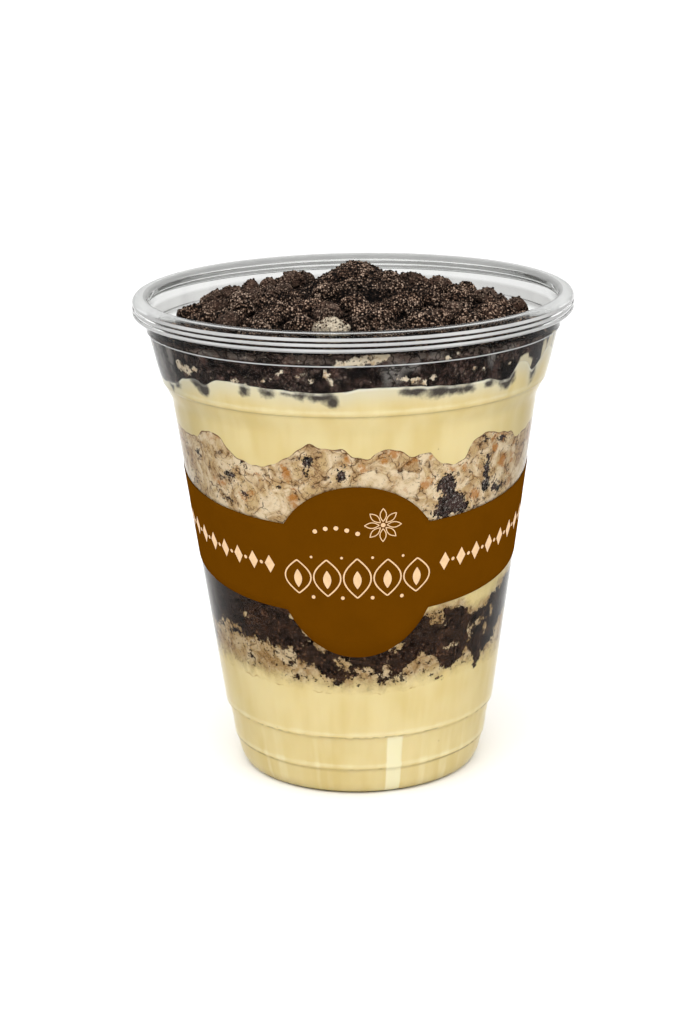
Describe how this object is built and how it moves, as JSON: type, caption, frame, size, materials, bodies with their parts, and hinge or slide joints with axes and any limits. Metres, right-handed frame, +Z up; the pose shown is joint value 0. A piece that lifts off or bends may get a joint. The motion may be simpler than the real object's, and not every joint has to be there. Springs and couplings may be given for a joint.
{
  "type": "layered dessert cup",
  "caption": "Layered dessert in a clear plastic cup with a rolled rim: cream, sponge and dark cookie crumbs in layers, a crumb heap on top, and a wrap-round label with a round badge.",
  "frame": {"origin": "middle of the cup's ring foot, on the surface it stands on", "axes": "+Z up along the cup's axis; the label's round badge faces -Y; +X to the right seen from the front"},
  "size_m": [0.098, 0.098, 0.1159],
  "materials": {
    "clear_plastic": "clear glossy thermoformed plastic",
    "label_paper": "brown coated sticker paper, satin",
    "cream": "pale yellow set cream, soft and slightly shiny",
    "sponge": "pale crumbly sponge with brown veins and dark bits",
    "cookie": "dark cookie crumbs, matt and grainy"
  },
  "bodies": {
    "root": {"cup": "clear_plastic", "label": "label_paper", "cream_base": "cream", "sponge_lower": "sponge", "cookie_lower": "cookie", "cream_middle": "cream", "sponge_upper": "sponge", "cream_upper": "cream", "cookie_heap": "cookie"}
  },
  "joints": []
}
